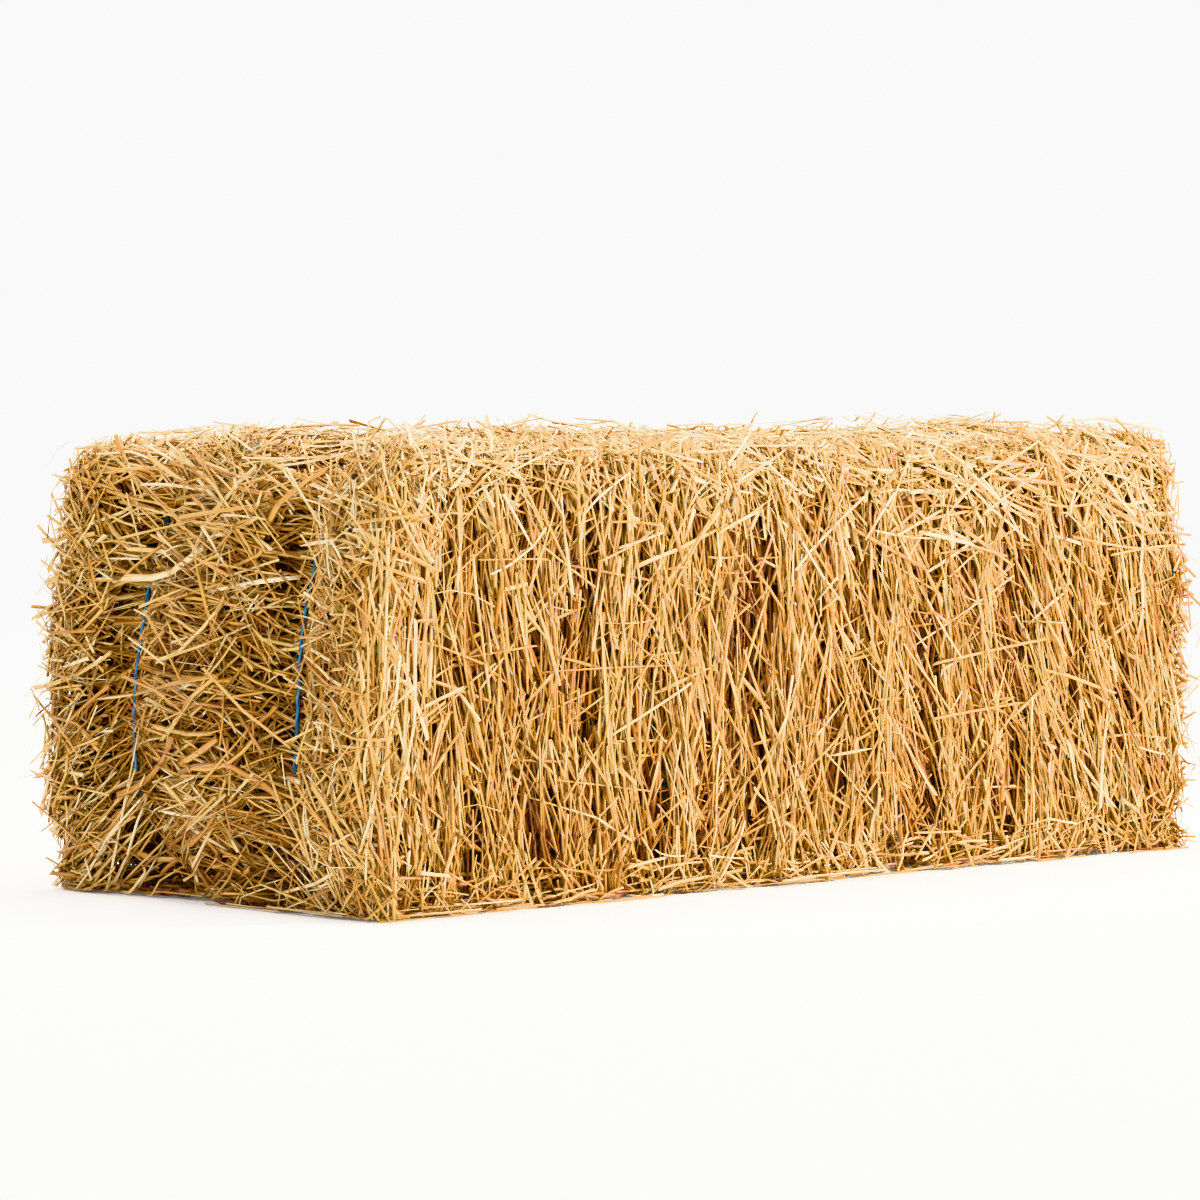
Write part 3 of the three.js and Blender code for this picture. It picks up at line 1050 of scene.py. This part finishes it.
KINDS = {
    "deep": stem(1300, 3, (11, 19), (70, 160), (3, 5), places=3, tilt=3),
    "middle": stem(3500, 3, (4, 11), (60, 190), (1.8, 3.8), places=4, tilt=4),
    "outer": stem(4000, 4, (-1, 4.5), (45, 200), (1.2, 3.2), places=6, wrap=0.35),
    "hero": stem(260, 6, (-4, 1), (70, 190), (1.8, 3.8), places=8, noded=0.8, pale=0.1),
    "shred": stem(
        3600, 3, (-3, 7), (25, 120), (0.6, 1.4), places=4, tilt=9, noded=0, wrap=0.5, curl=4
    ),
    "leaf": Kind(ribbons, 1050, 4, (-2, 7), (30, 120), (1.8, 4.6), slot=LEAF_SLOT),
    "sheath": Kind(ribbons, 130, 4, (-3, 3), (40, 140), (3.5, 6.5), slot=LEAF_SLOT),
    "stub": Kind(stubs, 850, 4, (0, 9), (12, 45), (1.1, 3)),
    "open stub": Kind(stubs, 240, 6, (1, 10), (14, 40), (2.2, 4), hollow=True),
    "chaff": Kind(chaff, 2300, 3, (-1.5, 7), (6, 24), (1, 4.2), slot=LEAF_SLOT),
}
CORE_DEPTH = 22 * MM
CORE_CELLS = (4, 14, 12)


def block(low, high, cells):
    """A box of cells: its corner points, its quads, and each point's place from 0 to 1."""
    cells = np.array(cells)
    grid = np.indices(cells + 1).reshape(3, -1).T
    shown = ((grid == 0) | (grid == cells)).any(axis=1)
    number = np.where(shown, np.cumsum(shown) - 1, -1).reshape(cells + 1)
    quads = []
    for axis in range(3):
        for end in (0, -1):
            side = np.take(number, end, axis=axis)
            ring = [side[:-1, :-1], side[1:, :-1], side[1:, 1:], side[:-1, 1:]]
            turned = (end == 0) == (axis != 1)
            quads.append(np.stack(ring[::-1] if turned else ring, axis=-1).reshape(-1, 4))
    share = grid[shown] / cells
    return low + share * (np.array(high) - low), np.concatenate(quads), share


def add_core(pile, low_x, high_x):
    """The straw packed too deep to see one by one: a lumpy block, dark with painted shade."""
    low, high = (low_x, -HALF_WIDTH, 0.0), (high_x, HALF_WIDTH, HEIGHT)
    points, quads, share = block(np.array(low), high, CORE_CELLS)
    points = press(points, -CORE_DEPTH - 3 * MM * rng.random(len(points)))
    paint = np.tile((0.0, 0.0, 0.0, 1.0), (len(points), 1))
    place = share[quads][..., 1:]
    pile.faces(quads, True, CORE_SLOT, place * 10, place, np.zeros(len(quads), int))
    pile.verts(points, paint, [-1.0])


def make_flakes(materials):
    """Lays each kind of straw all over the bale, and parts it among the flakes."""
    batches = {}
    for key, kind in KINDS.items():
        laid = [kind.lay(n, int(kind.per_area * f.area() * f.density)) for n, f in FACES.items()]
        batches[key] = joined(laid)
    walls = [-HALF_LENGTH, *SEAMS, HALF_LENGTH]
    for index, name in enumerate(FLAKE_NAMES):
        pile = Pile()
        add_core(pile, *walls[index : index + 2])
        for key, straws in batches.items():
            kind = KINDS[key]
            middle = straws.line.shape[1] // 2
            mine = np.searchsorted(SEAMS, straws.line[:, middle, 0]) == index
            pile.add(straws.keep(mine), kind.sides, kind.hollow, kind.slot)
        pile.piece(f"straw_{name}", materials, "straw", name)


# ---------------- loose straws


def strew(count, where, lean, length=(60, 190), depth=(-7, 0), width=(1.3, 3.4), **how):
    """Loose straws on part of a face. Their sizes are in mm: see `grow` for the rest."""
    how = {"wrap": 0.25, "pale": 0.1, "curl": 0.8, "overshoot": 14 * MM, **how}
    how |= {"where": where, "lean": lean, "packed": 0, "noded": 0.6}
    return stem(count, 5, depth, length, width, places=7, **how)


HIGH, LOW, FOOT = (0.45, 0.97), (-0.98, -0.62), (-1, -0.8)  # bands of a face's height
# short litter, broad blades, and straws that run out past the front edge:
LITTER = {"length": (15, 80), "depth": (-9, 3), "width": (0.8, 2.8), "tilt": 18, "curl": 7}
BLADE = {"width": (3.2, 5.4), "overshoot": 18 * MM, "wrap": 0.2, "tilt": 8, "pale": 0, "curl": 4}
SPLAY = {"width": (1, 3.4), "overshoot": 22 * MM, "wrap": 0, "tilt": 9}
STREWN = {
    # these, and the high ones on the front, are paler still: painted light from above
    "top": [
        strew(200, (ALL, ALL), (90, 42), (30, 110), (-12, -1), (1.2, 3), tilt=9, pale=0.2, curl=4),
        strew(100, (ALL, (-1, 0)), (110, 50), (40, 150), (-12, -3), (1.4, 3), pale=0.2, curl=3),
    ],
    "front": [
        strew(110, ((0.2, 1), HIGH), (-12, 26), (30, 140), width=(1.2, 3.2), pale=0.15, curl=2),
        strew(90, ((-1, 0.3), HIGH), (60, 50), (30, 130), width=(1.2, 3.2), pale=0.15, curl=2),
        strew(60, ((-0.4, 1), ALL), (118, 14), (50, 160)),
        strew(50, ((-1, -0.9), ALL), (88, 14), wrap=0.6),
        strew(200, (ALL, FOOT), (20, 60), **LITTER),
    ],
    "back": [
        strew(90, (ALL, HIGH), (-10, 35), (40, 150)),
        strew(120, (ALL, FOOT), (20, 60), **LITTER),
    ],
    "near_end": [
        strew(140, (ALL, HIGH), (-24, 24), (40, 140), width=(1.2, 3.2)),
        strew(56, ((-1, 0.4), (-0.9, 0.9)), (6, 30), (50, 150), (-4, 3), **BLADE),
        strew(50, ((-1, -0.35), LOW), (38, 14)),
        strew(40, ((0.5, 1), LOW), (-48, 22)),
        strew(110, ((-1, -0.6), ALL), (0, 24), (40, 150), (-5, 1), **SPLAY),
        strew(300, ((0.58, 1), (-0.95, 0.8)), (90, 70), **LITTER),
        strew(50, (ALL, FOOT), (10, 50), **LITTER),
    ],
    "far_end": [
        strew(80, (ALL, HIGH), (-20, 30)),
        strew(80, (ALL, LOW), (10, 26)),
        strew(60, (ALL, FOOT), (10, 50), **LITTER),
    ],
}
FRINGE = {  # what stands out of a face: how many tips and shreds, and how far at most, in mm
    "top": (520, 620, 17),
    "near_end": (230, 320, 27),
    "far_end": (220, 260, 26),
    "front": (160, 200, 15),
    "back": (120, 120, 15),
}
LYING = {  # on the ground: how many straws, how many bits and how far in the bits reach, in mm
    "front": (56, 200, 22),
    "near_end": (16, 300, 56),
    "back": (46, 150, 22),
    "far_end": (16, 260, 56),
}
TIP_SIZES = mm(35, 110), mm(1.2, 3.1)  # length and width
SHRED_SIZES = mm(15, 60), mm(0.6, 1.5)
LYING_SIZES = mm(25, 140), mm(0.9, 2.8), mm(-16, 20)  # length, width and reach
BIT_SIZES = mm(10, 36), mm(3, 8)
BRIGHT, DARK = (0.7, PROUDEST), (0.0, 0.4)  # their shades


def make_loose(materials):
    """Straws that have worked loose, and the fringe of tips that stand out."""
    for name, strewn in STREWN.items():
        pile = Pile()
        for kind in strewn:
            pile.add(kind.lay(name, kind.per_area), kind.sides)
        if name in LYING:
            many, bits, inward = LYING[name]
            pile.add(lying_straws(name, many, *LYING_SIZES, BRIGHT, places=6), 5)
            # the bits are dark with painted shade, to fill the hollows at the foot
            pile.add(lying_straws(name, bits, *BIT_SIZES, mm(-inward, 2), DARK, places=3), 3)
        tips, shreds, most = FRINGE[name]
        pile.add(stubs(name, tips, mm(3, most), *TIP_SIZES), 5)
        pile.add(stubs(name, shreds, mm(3, most), *SHRED_SIZES, spread=40, curl=9), 3)
        pile.piece(f"loose_straws_{name}", materials, "straw")


# ---------------- twine

TWINE_SIDES = 10
TWINE_STEP = 4 * MM
TWIST = 32 * MM  # length of one turn of the film
SWAY = 1.5 * MM  # how far it strays from a straight line, seen from above
KNOT_X = 318 * MM
KNOT_SIZE = 1.5 * MM
TAIL = 36 * MM
THINNED = 0.85  # thickness of the knot's and tails' strand as a share of the twine's
FIBRIL_WIDTH = 0.22 * MM


def hull(places):
    """The convex outline round places in a plane, anticlockwise."""
    places = places[np.lexsort((places[:, 1], places[:, 0]))]
    outline = []
    for run in (places, places[::-1]):
        chain = []
        for place in run:
            while len(chain) > 1:
                (ax, az), (bx, bz) = chain[-2:]
                if (bx - ax) * (place[1] - az) > (bz - az) * (place[0] - ax):
                    break
                chain.pop()
            chain.append(place)
        outline += chain[:-1]
    return np.array(outline)


def smoothed(values):
    """Each value of a closed run as the mean of the five round it."""
    padded = np.concatenate([values[-2:], values, values[:2]])
    return np.convolve(padded, np.ones(5) / 5, "valid")


def twine_path(y):
    """The twine's centre line, pulled tight over the bale, from its knot round to its knot."""
    turn = np.linspace(0, 2 * math.pi, 1500)
    around = np.column_stack([np.cos(turn), np.zeros_like(turn), np.sin(turn)])
    places = np.array((0, y, HEIGHT / 2)) + around * HALF_LENGTH * 1.2
    outline = hull(press(places, TWINE_LIFT)[:, [0, 2]])
    outline = np.vstack([outline, outline[:1]])
    run = run_along(outline)
    steps = np.linspace(0, run[-1], int(run[-1] / TWINE_STEP), endpoint=False)
    x, z = (np.interp(steps, run, outline[:, i]) for i in (0, 1))
    start = np.where(z > HEIGHT / 2, np.abs(x - KNOT_X), np.inf).argmin()
    loop = [smoothed(np.roll(values, -start)) for values in (x, z)]
    sway = SWAY * np.sin(steps * 31 + y * 50) * np.sin(steps * 7)
    path = np.column_stack([loop[0], y + sway, np.maximum(loop[1], TWINE_RADIUS + 0.5 * MM)])
    return np.vstack([path, path[:1]])


def rope(pile, path, radius, strips=1):
    """Adds twisted film along a path: an uneven oval that turns as it goes."""
    along, across, out = frames(path, np.array((0.0, 1.0, 0.02)))
    run = run_along(path)
    turn = ring_turns(TWINE_SIDES)
    phase = turn - 2 * math.pi * run[:, None] / TWIST
    swelling = 1 + 0.07 * np.sin(run * 190) + 0.05 * np.sin(run * 83 + 1)
    ridge = np.cos(2 * phase) + 0.4 * np.cos(5 * phase + 1.3)
    ridge += 0.25 * np.cos(3 * phase + run[:, None] * 60)
    size = radius * swelling[:, None] * (1 + 0.15 * ridge)
    points = path[:, None] + across[:, None] * (np.cos(turn) * size)[..., None]
    points += out[:, None] * (np.sin(turn) * size)[..., None]
    # the ridges are painted paler and the hollows darker: painted light and shade
    ridge = np.clip(0.5 + 0.35 * ridge, 0, 1)
    paint = np.stack([ridge, *np.ones((3, *ridge.shape))], axis=-1)
    pile.tubes(points[None], paint[None], path[None], 0, strips=strips)


def knot_path(middle):
    """An overhand knot drawn tight."""
    t = np.linspace(0, 2 * math.pi, 44)
    shape = np.column_stack(
        [np.sin(t) + 2 * np.sin(2 * t), 0.8 * (np.cos(t) - 2 * np.cos(2 * t)), -np.sin(3 * t)]
    )
    return middle + shape * KNOT_SIZE


def tail_path(middle, side):
    """One of the two cut ends that the knotter leaves, lying back over the straw."""
    share = np.linspace(0, 1, 12)
    across = side * (3 + 8 * share**1.5 + 1.5 * np.sin(share * 5)) * MM
    rise = (2 + 5 * np.sin(share * 2.2)) * MM
    return middle + np.column_stack([-TAIL * share, across, rise])


def fibrils(path, count, length):
    """Hairs of split film that stand off the twine."""
    first = rng.integers(1, len(path) - 2, count)
    along = unit(path[first + 1] - path[first - 1])
    away = unit(rng.normal(0, 1, (count, 3)) * (1, 1, 0.6) + (0, 0, 0.2))
    away = away_from(away, along)
    start = path[first] + away * TWINE_RADIUS * 0.6
    forth = along * rng.choice([-1, 1], count)[:, None]
    heading = unit(forth + away * rng.uniform(0.2, 0.7, count)[:, None])
    whole = rng.uniform(*length, count)
    steps = np.linspace(0, 1, 4) * whole[:, None]
    bend = away * rng.uniform(-35, 15, count)[:, None]
    line = bounded(Course(start, heading, bend).at(steps))
    wide = np.full(steps.shape, FIBRIL_WIDTH)
    ones = np.ones_like(steps)
    tone, straight = np.full(count, 0.8), np.zeros((count, 2))
    return Straws(line, away, wide, wide * 0.5, tone, ones, ones, straight, np.zeros(count))


def make_twine(name, y, material):
    """A twine with its knot, its two tails and the hairs that stand off it."""
    pile = Pile()
    path = twine_path(y)
    rope(pile, path, TWINE_RADIUS, strips=24)
    middle = path[0] + (0, 0, 1.5 * MM)
    rope(pile, knot_path(middle), TWINE_RADIUS * THINNED, strips=2)
    for side in (-1, 1):
        tail = tail_path(middle, side)
        rope(pile, tail, TWINE_RADIUS * THINNED)
        pile.add(fibrils(tail[-3:].repeat(2, axis=0), 9, mm(5, 11)), 3, over_twine=True)
    pile.add(fibrils(path, 110, mm(4, 12)), 3, over_twine=True)
    pile.piece(f"film_{name}", [material], "twine", name)


# ---------------- stage, light and camera

WORLD_LIGHT = 1.75
SUNNY = (0.965, 1, 0.92)
VIEW_TURN, VIEW_PITCH = math.radians(-44), math.radians(-2.2)
NEAR_EDGE = Vector((-0.460, -0.205, 0))  # foot of the upright edge next to the camera
VIEW_PLACE = Vector((0.152, -3.93, 0.396))  # to the right, ahead and up from there


def stage():
    bpy.ops.mesh.primitive_plane_add(size=14)
    floor = bpy.context.object
    floor.name = "floor"
    floor.data.materials.append(floor_material())
    world = bpy.data.worlds.new("studio")
    world.use_nodes = True
    background = world.node_tree.nodes["Background"].inputs
    background["Color"].default_value = (1, 1, 1, 1)
    background["Strength"].default_value = WORLD_LIGHT
    bpy.context.scene.world = world
    bpy.context.scene.view_settings.view_transform = "Khronos PBR Neutral"


def softbox(name, place, size, watts, colour):
    data = bpy.data.lights.new(name, "AREA")
    data.shape = "DISK"
    data.size = size
    data.energy = watts
    data.color = colour
    lamp = bpy.data.objects.new(name, data)
    lamp.location = place
    target = Vector((0, 0, HEIGHT / 2))
    lamp.rotation_euler = (target - lamp.location).to_track_quat("-Z", "Y").to_euler()
    bpy.context.collection.objects.link(lamp)


def camera():
    """A long lens at the height of the bale's top, looking past its near upright edge."""
    data = bpy.data.cameras.new("camera")
    data.lens = 156
    data.sensor_width = 36
    cam = bpy.data.objects.new("camera", data)
    cam.location = NEAR_EDGE + Matrix.Rotation(VIEW_TURN, 3, "Z") @ VIEW_PLACE
    cam.rotation_euler = (math.pi / 2 + VIEW_PITCH, 0, VIEW_TURN)
    bpy.context.collection.objects.link(cam)
    bpy.context.scene.camera = cam


camera()
stage()
softbox("key", (1.9, -1.8, 1.5), 0.5, 180, SUNNY)
softbox("side", (1.5, -1.7, 0.8), 2.0, 114, SUNNY)
softbox("over", (0.3, 0.2, 2.4), 2.0, 150, (0.99, 1, 0.97))
straw = [
    stem_material("straw stem", STEM_STOPS, 0.36, 0.36, 0.5),
    stem_material("straw leaf", LEAF_STOPS, 0.26, 0.5, 0.3),
    core_material(),
]
make_flakes(straw)
make_loose(straw)
twine = twine_material()
make_twine("twine_front", -TWINE_Y, twine)
make_twine("twine_back", TWINE_Y, twine)
